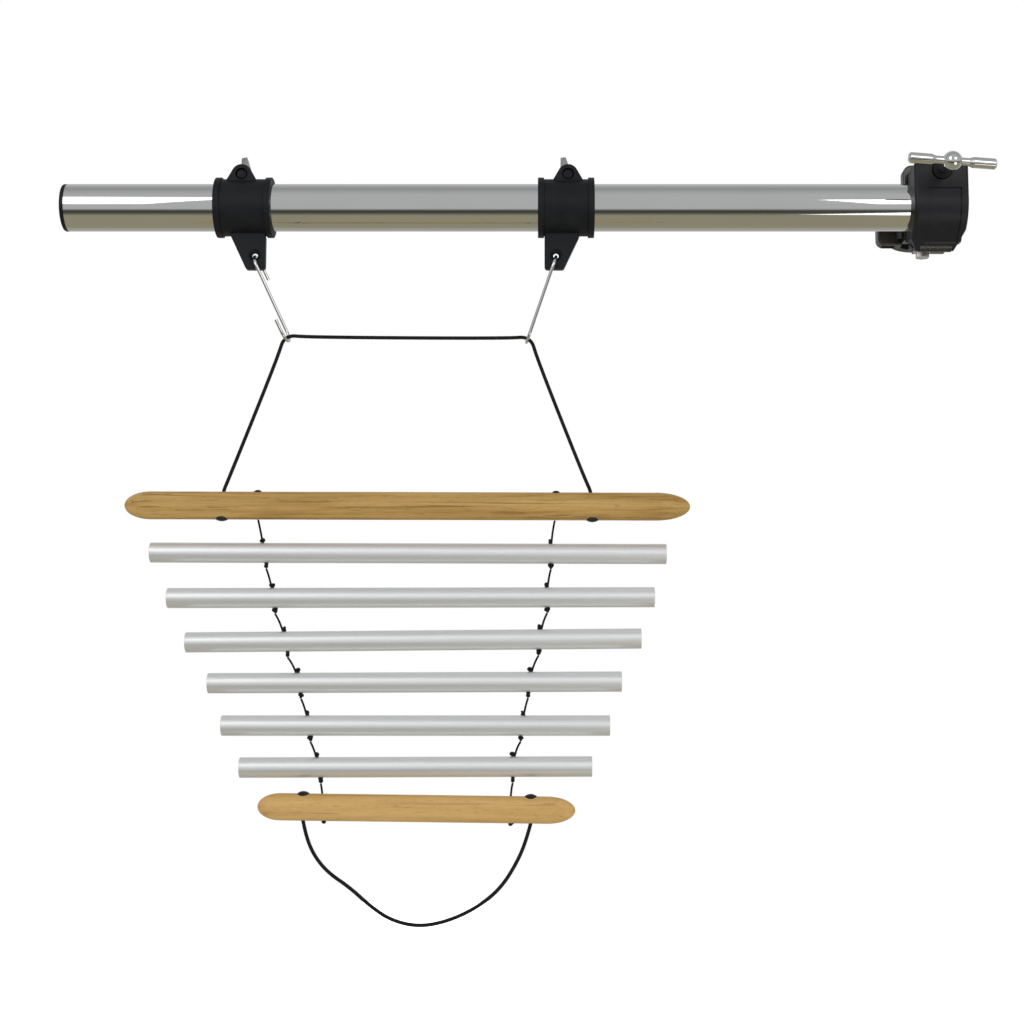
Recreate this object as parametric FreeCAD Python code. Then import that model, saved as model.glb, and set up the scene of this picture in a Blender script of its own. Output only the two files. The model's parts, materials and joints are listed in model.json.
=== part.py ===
import FreeCAD, Part
import math
import os

# Hanging marimba: six aluminium tubes on two knotted cords between two wooden bars, hung by a cord
# and two S-hooks from two clamps on a rack arm, which a right-angle clamp holds on an upright post.
# Units are millimetres and degrees. +Z is up and +X runs along the arm towards the clamp.
# The origin is the centre of the clamp's upright post bore.

V = FreeCAD.Vector
X_DIR, Y_DIR, Z_DIR = V(1, 0, 0), V(0, 1, 0), V(0, 0, 1)
ORIGIN = V(0, 0, 0)
FAR = 400.0  # larger than any one clamp part, for cutting halves away

# Rack arm and the post it is made for
RACK_R = 19.05
RACK_WALL = 1.6
POST_BORE_R = 19.10
SLIDE_BORE_R = 19.15
ARM_Y = -50.0
ARM_LEFT = -706.0
ARM_RIGHT = 19.0
CAP_FLANGE = 3.5
CAP_FLANGE_RIGHT = 2.3
CAP_PLUG = 12.0
CAP_PLUG_R = 17.3

# Right-angle clamp
CLAMP_HALF = 21.5
SADDLE_R = 28.0
JAW_R = 28.5
JAW_LEFT = -22.0
JAW_GAP = 1.0
JAW_TOP = 32.0
JAW_EDGE_ROUND = 3.0
PANEL_DEPTH = 1.2
PANEL_RIM_LEFT = 11.0
PANEL_RIM_RIGHT = 6.0
PANEL_TOP = 8.5
ARM_HINGE_Z = -31.5
HINGE_R = 4.5
BRACKET_R = 5.3
APRON_R = 5.0
HINGE_PIN_R = 2.2
BRACKET_LEFT, BRACKET_RIGHT = -14.0, 12.0
BRACKET_BOLT = V(-7.0, -31.0, -31.0)
EAR_LEFT, EAR_RIGHT, EAR_TOP = -25.0, 21.0, 36.5
EAR_THICK = 12.0
POST_HALF = 16.0
POST_EAR_X, POST_EAR_LOW = -39.9, -20.4
POST_JAW_EAR_X, POST_JAW_EAR_LOW = -35.4, -13.0
POST_SCREW_X, POST_SCREW_Z = -27.8, 14.5
POST_HINGE_X = 27.0
FIT = 0.3
RUNG_GAP = 0.8  # between a knot and the start of the next rung cord, which swings there

# T-screws
SCREW_R = 3.9
THREAD_HOLE_R = 4.0
SCREW_SLOT_R = 5.2
SCREW_SLOT_LONG = 1.5  # the slot is longer outwards, for the ear turns on its hinge
SCREW_AXIS_Z = 26.9
SCREW_DIP = 7.9
PAD_S = 27.5
COLLAR_R, COLLAR_THICK = 7.5, 4.0
BALL_R = 7.65
BALL_S = 64.3
T_BAR_HALF = 34.3
T_BAR_R = 4.3
T_BAR_NECK_R = 3.15
T_BAR_TILT = 4.6
POST_BALL_Y = 40.0

# Hanger clamps
HANGERS = {"left": (-562.2, 1), "right": (-300.8, -1)}  # centre, and the side of the tab
HANGER_WIDTH = 45.7
HANGER_R = 23.0
RIM_R, RIM_WIDE = 24.3, 5.0
HANGER_SPLIT = 0.4
HANGER_HINGE_Z = -21.2
HANGER_PIN_R, HANGER_KNUCKLE_R = 0.9, 1.85
HANGER_KNUCKLES = 5
EAR_X = -1.5
EAR_Z = 24.6
EAR_R = 8.2
EAR_BASE_HALF, EAR_BASE_Z = 12.6, 19.0
EAR_FRONT, EAR_REAR = 13.0, 15.0
BOLT_R, BOLT_HEAD_R, BOLT_HEAD = 3.0, 4.4, 2.3
BOLT_END = 28.0
WASHER_R, WASHER_THICK = 7.0, 1.5
WING_HUB_R, WING_HUB = 6.5, 8.0
WING_R, WING_THICK = 4.2, 3.6
WING_TURN = {"left": -10.0, "right": -7.0}
TAB_FRONT_Y, TAB_BACK_Y = -55.0, -47.0
TAB_TOP_OUTER, TAB_BOTTOM_OUTER, TAB_INNER = -11.5, 2.0, 17.5
TAB_BOTTOM_Z = -51.8
TAB_HOLE_R = 2.3
TAB_HOLE_FLARE, TAB_FLARE_DEPTH = 2.85, 3.0

# S-hooks, and the plane in which the instrument hangs
HANG_Y = -52.0
WIRE_R = 1.3
HOOK_LOOP_R = 8.75
HOOK_EYES = {"left": V(-553.2, HANG_Y, -41.4), "right": V(-309.0, HANG_Y, -41.4)}
HOOK_TURN = {"left": 11.0, "right": -5.0}
HOOK_UPPER_LEG, HOOK_LOWER_LEG = 12.0, 10.5

# Cords
CORD_R = 1.5
RUNG_CORD_R = 0.85
KNOT_R = 2.0
CORD_OVER_WIRE = WIRE_R + CORD_R + FIT
ARC_SHARE = 0.45

# Wooden bars: length, height, centre x, centre z, tilt (right end up), left and right nose
BAR_DEPTH = 17.0
UPPER_BAR = (451.6, 22.4, -427.9, -245.4, -0.15, 21.0, 27.0)
LOWER_BAR = (249.0, 21.2, -418.8, -484.4, -0.73, 18.0, 22.0)
STOPPER_R, STOPPER_SUNK, STOPPER_PROUD = 4.9, 1.9, 1.9
SMALL_STOPPER_R, SMALL_STOPPER_PROUD = 3.3, 1.5
BAR_HOLE_R, RUNG_HOLE_R = 1.9, 1.35

# Tubes: length, centre x, centre z, tilt
TUBE_R, TUBE_WALL = 8.0, 1.5
TUBES = [
    (410.4, -426.7, -283.4, -0.17),
    (386.4, -424.3, -318.8, 0.10),
    (360.4, -422.0, -352.8, 0.49),
    (326.4, -420.7, -385.9, 0.23),
    (305.6, -419.7, -419.8, 0.00),
    (276.6, -419.4, -452.2, 0.18),
]
KNOT_ABOVE = 9.7  # from a tube's axis to the middle of the knots above and below it

# Where each rung cord passes: x at the knot above and at the knot below each tube
LEFT_KNOTS = [
    (-543.0, -539.7), (-534.7, -532.1), (-524.7, -521.6),
    (-513.5, -510.5), (-505.3, -502.7), (-497.3, -494.0),
]
RIGHT_KNOTS = [
    (-313.7, -313.3), (-316.8, -316.2), (-322.0, -322.9),
    (-329.7, -331.3), (-335.3, -337.1), (-343.6, -343.3),
]
RUNG_TOP_X = {"left": (-547.4, -546.8), "right": (-309.2, -310.2)}  # on the upper bar: top, bottom
RUNG_END_X = {"left": (-492.2, -491.1), "right": (-345.9, -344.8)}  # on the lower bar: top, bottom

# Hanging cord: holes in the upper bar and the corners over the hooks
HANGING_HOLES_X = (-575.9, -280.2)
HANGING_ROUTE = [
    V(-575.9, HANG_Y, -256.5),
    V(-576.3, HANG_Y, -238.0),
    V(-527.1, HANG_Y, -107.9),
    V(-330.7, HANG_Y, -109.1),
    V(-280.4, HANG_Y, -238.5),
    V(-280.1, HANG_Y, -257.0),
]

# Loop cord under the lower bar, chosen as the lines that it touches
LOOP_HOLES_X = (-507.4, -329.2)
LOOP_ROUTE = [
    V(-507.4, HANG_Y, -494.7),
    V(-505.6, HANG_Y, -503.5),
    V(-499.3, HANG_Y, -519.5),
    V(-488.0, HANG_Y, -533.5),
    V(-470.0, HANG_Y, -545.5),
    V(-455.0, HANG_Y, -559.0),
    V(-438.0, HANG_Y, -570.5),
    V(-416.0, HANG_Y, -575.5),
    V(-393.0, HANG_Y, -571.0),
    V(-370.5, HANG_Y, -560.5),
    V(-352.0, HANG_Y, -545.5),
    V(-338.5, HANG_Y, -523.5),
    V(-332.0, HANG_Y, -506.5),
    V(-329.2, HANG_Y, -496.9),
]


def rod(radius, start, end):
    """A cylinder between two points."""
    line = end - start
    return Part.makeCylinder(radius, line.Length, start, line)


def box(x0, x1, y0, y1, z0, z1):
    """A block between two corners."""
    return Part.makeBox(x1 - x0, y1 - y0, z1 - z0, V(x0, y0, z0))


def fuse(*shapes):
    """One solid out of several that touch."""
    body = shapes[0].fuse(list(shapes[1:]))
    return body.removeSplitter()


def prism(points, depth):
    """A flat outline, given in order, pushed along a vector."""
    return Part.Face(Part.makePolygon(points + points[:1])).extrude(depth)


def rounded(shape, radius, chosen):
    """The shape with a round of that radius on each edge that chosen accepts."""
    edges = [edge for edge in shape.Edges if chosen(edge)]
    return shape.makeFillet(radius, edges) if edges else shape


def runs_along(edge, direction):
    """Whether a straight edge is parallel to a direction."""
    if not isinstance(edge.Curve, Part.Line):
        return False
    return abs(abs(edge.tangentAt(edge.FirstParameter).dot(direction)) - 1.0) < 1e-6


def turned(shape, centre, axis, degrees):
    """A copy of the shape, turned about an axis."""
    copy = shape.copy()
    copy.rotate(centre, axis, degrees)
    return copy


def save(name, shape):
    """Write one node, and say what it holds."""
    shape.exportStep("parts/" + name + ".step")
    print(f"{name}: {len(shape.Solids)} solid(s), {shape.Volume / 1000:.2f} cm3, valid {shape.isValid()}")


# ---------------------------------------------------------------- cords

def corner(before, point, after, radius=None):
    """Where the arc at one point of a route starts, its middle and its end, and its centre and radius."""
    back = before - point
    ahead = after - point
    shorter = min(back.Length, ahead.Length)
    half_turn = (math.pi - back.getAngle(ahead)) / 2
    if radius is None:
        radius = ARC_SHARE * shorter / math.tan(half_turn)
    reach = radius * math.tan(half_turn)
    back.normalize()
    ahead.normalize()
    inward = (back + ahead).normalize()
    centre = point + inward * (radius / math.cos(half_turn))
    return point + back * reach, centre - inward * radius, point + ahead * reach, centre, radius


def route_wire(route, radii):
    """The straight runs of a route joined by tangent arcs."""
    edges = []
    bends = []
    at = route[0]
    for i in range(1, len(route) - 1):
        start, middle, end, _, radius = corner(route[i - 1], route[i], route[i + 1], radii.get(i))
        edges.append(Part.LineSegment(at, start).toShape())
        edges.append(Part.Arc(start, middle, end).toShape())
        bends.append(radius)
        at = end
    edges.append(Part.LineSegment(at, route[-1]).toShape())
    wire = Part.Wire(edges)
    return wire, bends


def cord(name, route, cord_radius, radii=None):
    """A round cord along a route. It prints its length, its bends, and its volume share."""
    wire, bends = route_wire(route, radii or {})
    section = Part.Wire([Part.Circle(route[0], route[1] - route[0], cord_radius).toShape()])
    tube = wire.makePipeShell([section], True, False)
    expected = math.pi * cord_radius ** 2 * wire.Length
    listed = ", ".join(f"{bend:.0f}" for bend in bends)
    print(f"{name}: length {wire.Length:.1f}, radii {listed}, volume ratio {tube.Volume / expected:.4f}")
    return tube


# ---------------------------------------------------------------- rack arm

def arm_tube():
    """The chromed rack arm."""
    outside = rod(RACK_R, V(ARM_LEFT, ARM_Y, 0), V(ARM_RIGHT, ARM_Y, 0))
    inside = rod(RACK_R - RACK_WALL, V(ARM_LEFT, ARM_Y, 0), V(ARM_RIGHT, ARM_Y, 0))
    return outside.cut(inside)


def end_cap(end_x, outward, flange):
    """A plug with a flange that closes one end of the arm."""
    face = V(end_x, ARM_Y, 0)
    disc = rod(RACK_R, face, face + X_DIR * outward * flange)
    disc = rounded(disc, 1.2, lambda edge: abs(edge.CenterOfMass.x - (end_x + outward * flange)) < 1e-3)
    return fuse(disc, rod(CAP_PLUG_R, face, face - X_DIR * outward * CAP_PLUG))


# ---------------------------------------------------------------- right-angle clamp

SCREW_POINT = V(0, ARM_Y, SCREW_AXIS_Z)
SCREW_OUT = V(0, -math.cos(math.radians(SCREW_DIP)), -math.sin(math.radians(SCREW_DIP)))
ARM_HINGE = V(0, ARM_Y, ARM_HINGE_Z)


def on_screw(distance):
    """The point at a distance out along the arm screw's axis."""
    return SCREW_POINT + SCREW_OUT * distance


def arm_line(radius, x0, x1):
    """A cylinder on the arm's axis."""
    return rod(radius, V(x0, ARM_Y, 0), V(x1, ARM_Y, 0))


def hinge_rod(radius, x0, x1):
    """A cylinder on the arm jaw's hinge axis."""
    return rod(radius, V(x0, ARM_Y, ARM_HINGE_Z), V(x1, ARM_Y, ARM_HINGE_Z))


def post_hinge_rod(radius, z0, z1):
    """A cylinder on the post jaw's hinge axis."""
    return rod(radius, V(POST_HINGE_X, 0, z0), V(POST_HINGE_X, 0, z1))


def clamp_body():
    """The cast block with a saddle for the arm in front and one for the post behind."""
    front = ARM_Y + JAW_GAP
    saddle = arm_line(SADDLE_R, -CLAMP_HALF, CLAMP_HALF).common(box(-FAR, FAR, front, FAR, -FAR, FAR))
    post_side = rod(SADDLE_R, V(0, 0, -POST_HALF), V(0, 0, POST_HALF))
    post_side = post_side.common(box(-FAR, FAR, -FAR, -JAW_GAP, -FAR, FAR))
    web = box(-CLAMP_HALF, CLAMP_HALF, front, -20, -CLAMP_HALF, CLAMP_HALF)
    pad = box(BRACKET_LEFT - 2, BRACKET_RIGHT + 2, -45, -20, -27.8, -CLAMP_HALF + 1)
    ear = box(EAR_LEFT, EAR_RIGHT, front, front + EAR_THICK, 15, EAR_TOP)
    ear = rounded(ear, 7.0, lambda e: runs_along(e, Y_DIR) and e.CenterOfMass.z > EAR_TOP - 1)
    ear = rounded(ear, 1.5, lambda e: e.CenterOfMass.z > EAR_TOP - 8 and not runs_along(e, Y_DIR))
    post_ear = box(POST_EAR_X, -20, -JAW_GAP - EAR_THICK, -JAW_GAP, POST_EAR_LOW, CLAMP_HALF)
    post_ear = rounded(post_ear, 6.0, lambda e: runs_along(e, Y_DIR) and e.CenterOfMass.x < POST_EAR_X + 1)
    post_ear = rounded(post_ear, 1.5, lambda e: runs_along(e, Z_DIR) and e.CenterOfMass.x < POST_EAR_X + 1)
    knuckle = fuse(post_hinge_rod(HINGE_R, -8, 8), box(22, POST_HINGE_X, -6, -JAW_GAP, -8, 8))
    body = fuse(saddle, post_side, web, pad, ear, post_ear, knuckle)
    body = body.cut(arm_line(SLIDE_BORE_R, -FAR, FAR))
    body = body.cut(rod(POST_BORE_R, V(0, 0, -FAR), V(0, 0, FAR)))
    body = body.cut(hinge_rod(BRACKET_R + 0.6, -FAR, FAR))
    body = body.cut(rod(THREAD_HOLE_R, on_screw(-40), on_screw(40)))
    post_hole = rod(THREAD_HOLE_R, V(POST_SCREW_X, -FAR, POST_SCREW_Z), V(POST_SCREW_X, FAR, POST_SCREW_Z))
    body = body.cut(post_hole)
    body = body.cut(post_hinge_rod(HINGE_PIN_R + 0.05, -FAR, FAR))
    for z0, z1 in ((8, FAR), (-FAR, -8)):
        body = body.cut(post_hinge_rod(HINGE_R + 0.6, z0, z1))
    pocket = box(POST_EAR_X + 4, -25, -JAW_GAP - EAR_THICK + 3, -JAW_GAP - 3, -FAR, -8)
    body = body.cut(pocket)
    return body.cut(rod(3.0, BRACKET_BOLT, BRACKET_BOLT + Z_DIR * 12))


def jaw_skin(inset, x0, x1):
    """The front jaw's outside: a square shoulder, half a ring, and a flat apron down to its hinge."""
    back = ARM_Y - JAW_GAP
    slope = math.acos((JAW_R - APRON_R) / -ARM_HINGE_Z)
    out = V(0, -math.sin(slope), -math.cos(slope))
    upper = V(x0, ARM_Y, 0) + out * (JAW_R - inset)
    lower = V(x0, ARM_Y, ARM_HINGE_Z) + out * (APRON_R - inset)
    apron = prism([upper, lower, V(x0, back, lower.z), V(x0, back, upper.z)], V(x1 - x0, 0, 0))
    ring = arm_line(JAW_R - inset, x0, x1).common(box(-FAR, FAR, -FAR, back, -FAR, FAR))
    shoulder = box(x0, x1, ARM_Y - JAW_R + inset, back, 0, JAW_TOP)
    return fuse(ring, apron, shoulder)


def arm_jaw():
    """The front jaw, with a raised rim round a sunk panel."""
    back = ARM_Y - JAW_GAP
    jaw = jaw_skin(0, JAW_LEFT, CLAMP_HALF)
    jaw = rounded(jaw, 6.0, lambda e: runs_along(e, Y_DIR) and e.CenterOfMass.z > JAW_TOP - 1)
    jaw = rounded(jaw, JAW_EDGE_ROUND, lambda e: e.CenterOfMass.y < -56 and abs(e.CenterOfMass.x) > 12
                  and e.CenterOfMass.z < JAW_TOP - 1 and not runs_along(e, X_DIR))
    panel_x0 = JAW_LEFT + PANEL_RIM_LEFT
    panel_x1 = CLAMP_HALF - PANEL_RIM_RIGHT
    panel = jaw_skin(-1.0, panel_x0, panel_x1).cut(jaw_skin(PANEL_DEPTH, panel_x0, panel_x1))
    jaw = jaw.cut(panel.common(box(-FAR, FAR, -FAR, ARM_Y - 7, -FAR, PANEL_TOP)))
    for x0, x1 in ((JAW_LEFT + 2, BRACKET_LEFT - FIT), (BRACKET_RIGHT + FIT, CLAMP_HALF - 1.5)):
        lug = box(x0, x1, ARM_Y - HINGE_R, back, ARM_HINGE_Z, -22)
        jaw = fuse(jaw, hinge_rod(HINGE_R, x0, x1), lug)
    right_end = [(CLAMP_HALF - 7.5, -36), (FAR, -36), (FAR, -22), (CLAMP_HALF, -22)]
    left_end = [(JAW_LEFT + 5, -36), (JAW_LEFT, -28), (-FAR, -28), (-FAR, -36)]
    for end in (right_end, left_end):
        jaw = jaw.cut(prism([V(x, -FAR, z) for x, z in end], Y_DIR * FAR * 2))
    jaw = jaw.cut(arm_line(SLIDE_BORE_R, -FAR, FAR))
    jaw = jaw.cut(hinge_rod(BRACKET_R + 0.5, BRACKET_LEFT - FIT, BRACKET_RIGHT + FIT))
    jaw = jaw.cut(hinge_rod(HINGE_PIN_R + 0.05, -FAR, FAR))
    slot_low = rod(SCREW_SLOT_R, on_screw(-5) - Z_DIR * 1.2, on_screw(60) - Z_DIR * 1.2)
    slot_high = rod(SCREW_SLOT_R, on_screw(-5) + Z_DIR * 1.8, on_screw(60) + Z_DIR * 1.8)
    jaw = jaw.cut(slot_low).cut(slot_high)
    return jaw.cut(rod(COLLAR_R + 0.8, on_screw(PAD_S), on_screw(PAD_S + 30)))


def hinge_bracket():
    """The steel strip under the body that carries the arm jaw's hinge."""
    strip = box(BRACKET_LEFT, BRACKET_RIGHT, ARM_Y, -23, -31, -28)
    bracket = fuse(hinge_rod(BRACKET_R, BRACKET_LEFT, BRACKET_RIGHT), strip)
    bracket = bracket.cut(hinge_rod(HINGE_PIN_R + 0.05, -FAR, FAR))
    return bracket.cut(rod(3.2, BRACKET_BOLT - Z_DIR * 5, BRACKET_BOLT + Z_DIR * 9))


def hexagon(centre, across, height):
    """A six-sided prism standing on a centre point."""
    corners = []
    for i in range(6):
        angle = math.radians(60 * i + 30)
        corners.append(centre + V(math.cos(angle), math.sin(angle), 0) * (across / math.sqrt(3)))
    return prism(corners, V(0, 0, height))


def bracket_bolt():
    """The flanged hex bolt that holds the hinge bracket."""
    head = BRACKET_BOLT - Z_DIR * 0.05
    flange = Part.makeCone(7.6, 5.4, 1.8, head, -Z_DIR)
    return fuse(flange, hexagon(head - Z_DIR * 5.4, 10.0, 4.4), rod(2.9, head, head + Z_DIR * 11))


def post_jaw():
    """The rear jaw: half a ring with an ear for its screw and two hinge knuckles."""
    ring = rod(SADDLE_R, V(0, 0, -POST_HALF), V(0, 0, POST_HALF))
    ring = ring.common(box(-FAR, FAR, JAW_GAP, FAR, -FAR, FAR))
    ring = rounded(ring, 2.0, lambda e: e.CenterOfMass.y > 10 and not runs_along(e, Z_DIR))
    ear = box(POST_JAW_EAR_X, -20, JAW_GAP, JAW_GAP + EAR_THICK, POST_JAW_EAR_LOW, CLAMP_HALF)
    ear = rounded(ear, 4.0, lambda e: runs_along(e, Y_DIR) and e.CenterOfMass.x < POST_JAW_EAR_X + 1)
    jaw = fuse(ring, ear)
    for z0, z1 in ((8 + FIT, POST_HALF - 0.5), (-POST_HALF + 0.5, -8 - FIT)):
        jaw = fuse(jaw, post_hinge_rod(HINGE_R, z0, z1), box(22, POST_HINGE_X, JAW_GAP, 6, z0, z1))
    jaw = jaw.cut(post_hinge_rod(HINGE_R + 0.5, -8 - FIT, 8 + FIT))
    jaw = jaw.cut(rod(POST_BORE_R, V(0, 0, -FAR), V(0, 0, FAR)))
    jaw = jaw.cut(post_hinge_rod(HINGE_PIN_R + 0.05, -FAR, FAR))
    for x in (POST_SCREW_X, POST_SCREW_X - SCREW_SLOT_LONG):
        jaw = jaw.cut(rod(SCREW_SLOT_R, V(x, -FAR, POST_SCREW_Z), V(x, FAR, POST_SCREW_Z)))
    seat = V(POST_SCREW_X - SCREW_SLOT_LONG / 2, JAW_GAP + EAR_THICK, POST_SCREW_Z)
    return jaw.cut(rod(WASHER_R + 2.2, seat, seat + Y_DIR * 30))


def ball_screw(start, out, pad, ball_at):
    """A screw with a shoulder and a ball for its T-bar. Distances run out along the axis from start."""
    shaft = rod(SCREW_R, start - out * 16, start + out * (pad + 8))
    neck = rod(5.2, start + out * (pad + COLLAR_THICK + 0.1), start + out * ball_at)
    ball = Part.makeSphere(BALL_R, start + out * ball_at)
    return fuse(shaft, neck, ball)


def t_bar(centre, axis):
    """A bar through the ball, slim beside it and thicker at both ends."""
    half = [
        (0.0, 0.0), (0.0, T_BAR_NECK_R), (13.0, T_BAR_NECK_R), (16.5, T_BAR_R),
        (T_BAR_HALF - 1.2, T_BAR_R), (T_BAR_HALF, T_BAR_R - 1.2), (T_BAR_HALF, 0.0),
    ]
    outline = Part.makePolygon([V(x, 0, r) for x, r in half + half[:1]])
    arm = Part.Face(outline).revolve(ORIGIN, X_DIR, 360)
    bar = fuse(arm, turned(arm, ORIGIN, Z_DIR, 180))
    bar = turned(bar, ORIGIN, Y_DIR, -math.degrees(math.atan2(axis.z, axis.x)))
    bar.translate(centre)
    return bar


def arm_screw_parts():
    """The arm jaw's screw, its T-bar and its collar."""
    ball = on_screw(BALL_S)
    tilt = math.radians(T_BAR_TILT)
    axis = V(math.cos(tilt), 0, -math.sin(tilt))
    screw = ball_screw(SCREW_POINT, SCREW_OUT, PAD_S, BALL_S)
    screw = screw.cut(rod(T_BAR_NECK_R + 0.05, ball - axis * 12, ball + axis * 12))
    collar = rod(COLLAR_R, on_screw(PAD_S + 0.1), on_screw(PAD_S + COLLAR_THICK))
    outer = on_screw(PAD_S + COLLAR_THICK)
    collar = rounded(collar, 1.0, lambda e: e.CenterOfMass.distanceToPoint(outer) < 0.5)
    collar = collar.cut(rod(SCREW_R + 0.1, on_screw(0), on_screw(60)))
    return screw, t_bar(ball, axis), collar


def post_screw_parts():
    """The post jaw's screw, its T-bar and its washer."""
    start = V(POST_SCREW_X, 0, POST_SCREW_Z)
    pad = JAW_GAP + EAR_THICK
    ball = start + Y_DIR * POST_BALL_Y
    screw = ball_screw(start, Y_DIR, pad, POST_BALL_Y)
    screw = screw.cut(rod(T_BAR_NECK_R + 0.05, ball - X_DIR * 12, ball + X_DIR * 12))
    washer = rod(WASHER_R, start + Y_DIR * (pad + 0.1), start + Y_DIR * (pad + COLLAR_THICK))
    washer = washer.cut(rod(SCREW_R + 0.1, start, start + Y_DIR * 60))
    return screw, t_bar(ball, X_DIR), washer


# ---------------------------------------------------------------- hanger clamps

def hanger_line(side, radius, x0, x1, y=ARM_Y, z=0.0):
    """A cylinder parallel to the arm; x0 and x1 count from the hanger's centre."""
    centre = HANGERS[side][0]
    return rod(radius, V(centre + x0, y, z), V(centre + x1, y, z))


def barrel(side):
    """The ring of both shells, with a rim at each end."""
    half = HANGER_WIDTH / 2
    ring = hanger_line(side, HANGER_R, -half, half)
    for x0, x1 in ((-half, -half + RIM_WIDE), (half - RIM_WIDE, half)):
        rim = hanger_line(side, RIM_R, x0, x1)
        rim = rounded(rim, 0.6, lambda e: isinstance(e.Curve, Part.Circle))
        ring = fuse(ring, rim)
    return ring


def ear_prism(side, y0, y1):
    """The ear above the barrel: slanted sides that meet a round top."""
    centre, mirror = HANGERS[side]
    middle = V(centre + EAR_X * mirror, y0, EAR_Z)
    lean = math.atan2(EAR_Z - EAR_BASE_Z, EAR_BASE_HALF)
    reach = math.hypot(EAR_Z - EAR_BASE_Z, EAR_BASE_HALF)
    touch = math.acos(EAR_R / reach) - lean
    side_x, side_z = EAR_R * math.cos(touch), EAR_R * math.sin(touch)
    corners = [
        middle + V(-EAR_BASE_HALF, 0, -EAR_Z + 8), middle + V(EAR_BASE_HALF, 0, -EAR_Z + 8),
        middle + V(EAR_BASE_HALF, 0, EAR_BASE_Z - EAR_Z), middle + V(side_x, 0, side_z),
        middle + V(-side_x, 0, side_z), middle + V(-EAR_BASE_HALF, 0, EAR_BASE_Z - EAR_Z),
    ]
    block = prism(corners, V(0, y1 - y0, 0))
    return fuse(block, rod(EAR_R, middle, middle + V(0, y1 - y0, 0)))


def tab(side):
    """The tapered tab under the barrel, upright towards the middle, with the flared eye for the hook."""
    centre, mirror = HANGERS[side]
    top = -HANGER_R + 3
    flat = [
        V(centre + TAB_TOP_OUTER * mirror, TAB_FRONT_Y, -HANGER_R),
        V(centre + TAB_INNER * mirror, TAB_FRONT_Y, -HANGER_R),
        V(centre + TAB_INNER * mirror, TAB_FRONT_Y, TAB_BOTTOM_Z),
        V(centre + TAB_BOTTOM_OUTER * mirror, TAB_FRONT_Y, TAB_BOTTOM_Z),
    ]
    plate = prism(flat, V(0, TAB_BACK_Y - TAB_FRONT_Y, 0))
    plate = rounded(plate, 2.6, lambda e: runs_along(e, Y_DIR) and e.CenterOfMass.z < TAB_BOTTOM_Z + 1)
    plate = rounded(plate, 0.8, lambda e: e.CenterOfMass.z < -HANGER_R - 1 and not runs_along(e, Y_DIR))
    neck = box(*sorted((flat[0].x, flat[1].x)), TAB_FRONT_Y, ARM_Y - HANGER_SPLIT, -HANGER_R, top)
    shape = fuse(plate, neck)
    behind = hanger_line(side, RIM_R + 0.9, -30, 30).common(box(-FAR * 3, FAR, ARM_Y - 0.2, FAR, -FAR, FAR))
    shape = shape.cut(behind)
    eye = HOOK_EYES[side] - Z_DIR * (WIRE_R + FIT - TAB_HOLE_R)
    shape = shape.cut(rod(TAB_HOLE_R, eye - Y_DIR * 20, eye + Y_DIR * 20))
    for face_y, inward in ((TAB_FRONT_Y, 1), (TAB_BACK_Y, -1)):
        mouth = V(eye.x, face_y - inward * 0.01, eye.z)
        wide = TAB_HOLE_R + TAB_HOLE_FLARE
        shape = shape.cut(Part.makeCone(wide, TAB_HOLE_R, TAB_FLARE_DEPTH, mouth, Y_DIR * inward))
    return shape


def shell_knuckles(side, which, radius, slack):
    """The hinge knuckles in the barrel's wall that belong to the front (0) or the rear (1) shell."""
    step = HANGER_WIDTH / HANGER_KNUCKLES
    rods = []
    for i in range(HANGER_KNUCKLES):
        if i % 2 == which:
            x0 = -HANGER_WIDTH / 2 + i * step
            ends = (x0 + FIT / 2 - slack, x0 + step - FIT / 2 + slack)
            rods.append(hanger_line(side, radius, *ends, z=HANGER_HINGE_Z))
    return rods


def shell(side, which):
    """The front (0) or rear (1) half of a hanger clamp."""
    if which == 0:
        keep = box(-FAR * 3, FAR, -FAR, ARM_Y - HANGER_SPLIT, -FAR, FAR)
        ear = ear_prism(side, ARM_Y - EAR_FRONT, ARM_Y - HANGER_SPLIT)
    else:
        keep = box(-FAR * 3, FAR, ARM_Y + HANGER_SPLIT, FAR, -FAR, FAR)
        ear = ear_prism(side, ARM_Y + HANGER_SPLIT, ARM_Y + EAR_REAR)
    outer_face = ARM_Y - EAR_FRONT if which == 0 else ARM_Y + EAR_REAR
    ear = rounded(ear, 0.8, lambda e: abs(e.CenterOfMass.y - outer_face) < 1e-3 and e.CenterOfMass.z > 19)
    half = fuse(barrel(side).common(keep), ear)
    if which == 0:
        half = fuse(half, tab(side))
    half = half.cut(hanger_line(side, SLIDE_BORE_R, -40, 40))
    for other in shell_knuckles(side, 1 - which, HANGER_KNUCKLE_R + FIT, FIT / 2):
        half = half.cut(other)
    half = fuse(half, *shell_knuckles(side, which, HANGER_KNUCKLE_R, 0.0))
    half = half.cut(hanger_line(side, HANGER_PIN_R + 0.05, -40, 40, z=HANGER_HINGE_Z))
    return half.cut(bolt_hole(side, which))


def bolt_axis(side, y):
    """A point on the hanger bolt's axis."""
    centre, mirror = HANGERS[side]
    return V(centre + EAR_X * mirror, y, EAR_Z)


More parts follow.
